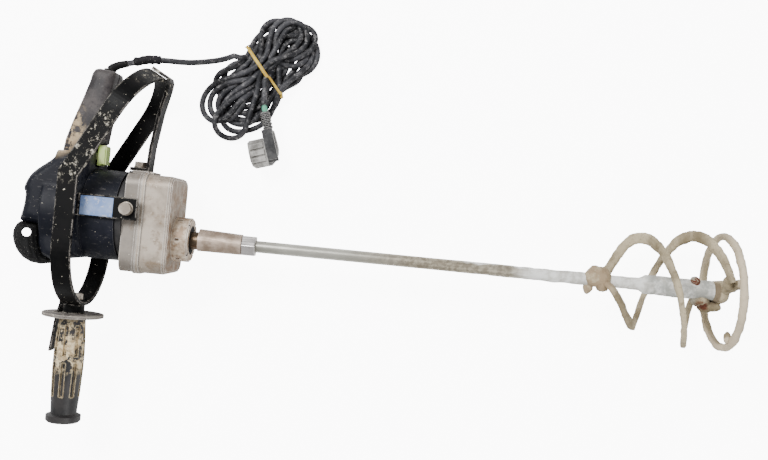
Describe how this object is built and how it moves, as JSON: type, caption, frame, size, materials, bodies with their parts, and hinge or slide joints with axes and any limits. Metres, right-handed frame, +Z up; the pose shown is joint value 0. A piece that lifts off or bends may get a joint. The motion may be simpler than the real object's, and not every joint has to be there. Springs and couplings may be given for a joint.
{
  "type": "mortar mixer with helical paddle",
  "caption": "Hand-held electric mortar mixer lying on its side: D-shaped guard hoop, motor, gearbox, long shaft with a ringed helical mixing paddle, coiled cord and plug.",
  "frame": {"origin": "point of the guard hoop's flat side below the shaft axis and in line with the side handle, on the surface that the mixer lies on", "axes": "+X along the shaft towards the paddle, +Y towards the main handle, +Z up from the surface the mixer lies on"},
  "size_m": [0.8381, 0.5139, 0.148],
  "materials": {
    "housing": "worn dark plastic with mortar dust",
    "cap_rubber": "dull black rubber",
    "dark_cast": "dark painted casting",
    "case_alloy": "bare casting with brown dirt",
    "collar_alloy": "turned alloy with rust dust",
    "zinc_screw": "zinc plated",
    "bearing_steel": "ground steel",
    "oily_steel": "greasy brown steel",
    "gear_steel": "machined steel",
    "laminations": "stacked sheet steel",
    "copper": "enamelled copper",
    "fan_plastic": "moulded black plastic",
    "brass_part": "pressed brass",
    "carbon": "carbon",
    "spring_steel": "spring wire",
    "black_paint": "black paint worn at the edges",
    "bolt_steel": "plated steel with light rust",
    "label_film": "scuffed pale blue film",
    "guard_plastic": "dusty dark plastic",
    "grip_plastic": "ribbed grip with dried mortar",
    "trigger_plastic": "lime green plastic",
    "board": "circuit board",
    "tape": "wound black tape",
    "cord_rubber": "dusty dark grey rubber",
    "tie_band": "yellowed rubber band",
    "plug_rubber": "dusty grey rubber",
    "pin_brass": "nickel plated brass",
    "adaptor_steel": "milled steel with brown stains",
    "nut_steel": "bright plated steel",
    "shaft_zinc": "zinc plated, crusted with mortar near the paddle",
    "paddle_mortar": "steel under a pale crust of mortar"
  },
  "bodies": {
    "mixer_body": {"handle_shell_near": "housing", "handle_shell_far": "housing", "handle_screws": "zinc_screw", "rear_cap": "cap_rubber", "motor_housing": "housing", "bearing_shield": "dark_cast", "gearcase_rear": "case_alloy", "gearcase_front": "case_alloy", "gearcase_screws": "zinc_screw", "nose_collar": "collar_alloy", "collar_screws": "zinc_screw", "spindle_seal": "cap_rubber", "spindle_bearings": "bearing_steel", "intermediate_bearings": "bearing_steel", "armature_bearings": "bearing_steel", "field_stator": "laminations", "field_coils": "copper", "brush_holders": "brass_part", "carbon_brushes": "carbon", "brush_springs": "spring_steel", "guard_hoop": "black_paint", "guard_leg": "black_paint", "side_bracket_near": "black_paint", "side_bracket_far": "black_paint", "bracket_bolts": "bolt_steel", "leg_bolt": "bolt_steel", "rating_label": "label_film", "aux_stub": "black_paint", "aux_stud": "bolt_steel", "hand_guard": "guard_plastic", "aux_grip": "grip_plastic", "stay_strip": "black_paint", "switch_body": "fan_plastic", "trigger_spring": "spring_steel", "speed_module": "board", "cord_gland": "cap_rubber", "cord_clamp": "fan_plastic", "cord_sleeve": "tape", "cord_lead": "cord_rubber", "cord_hank": "cord_rubber", "cord_tail": "cord_rubber", "hank_tie": "tie_band", "plug_body": "plug_rubber", "plug_pins": "pin_brass"},
    "paddle": {"mixer_shaft": "shaft_zinc", "blade_first": "paddle_mortar", "blade_second": "paddle_mortar", "ring": "paddle_mortar", "ring_crossbar": "paddle_mortar", "lock_nut": "nut_steel", "adaptor_sleeve": "adaptor_steel", "spindle": "oily_steel", "output_gear": "gear_steel"},
    "intermediate": {"intermediate_gear": "gear_steel", "intermediate_shaft": "gear_steel"},
    "armature": {"armature_shaft": "gear_steel", "armature_core": "laminations", "commutator": "copper", "cooling_fan": "fan_plastic"},
    "trigger_lever": {"trigger": "trigger_plastic"}
  },
  "joints": [
    {"name": "spindle_spin", "type": "hinge", "parent": "mixer_body", "child": "paddle", "pos_m": [0.1, 0, 0.07], "axis": [1, 0, 0], "continuous": true},
    {"name": "intermediate_spin", "type": "hinge", "parent": "mixer_body", "child": "intermediate", "pos_m": [0.08, 0.0396, 0.07], "axis": [1, 0, 0], "continuous": true},
    {"name": "armature_spin", "type": "hinge", "parent": "mixer_body", "child": "armature", "pos_m": [0, 0.0206, 0.07], "axis": [1, 0, 0], "continuous": true},
    {"name": "trigger_pull", "type": "slide", "parent": "mixer_body", "child": "trigger_lever", "axis": [-1, 0, 0], "range_m": [0, 0.006], "stiffness_N_per_m": 400, "springref_m": -0.004, "deforming": ["trigger_spring"]}
  ],
  "couplings": [
    {"joint": "intermediate_spin", "follows": "spindle_spin", "ratio": -5},
    {"joint": "armature_spin", "follows": "spindle_spin", "ratio": 14}
  ]
}
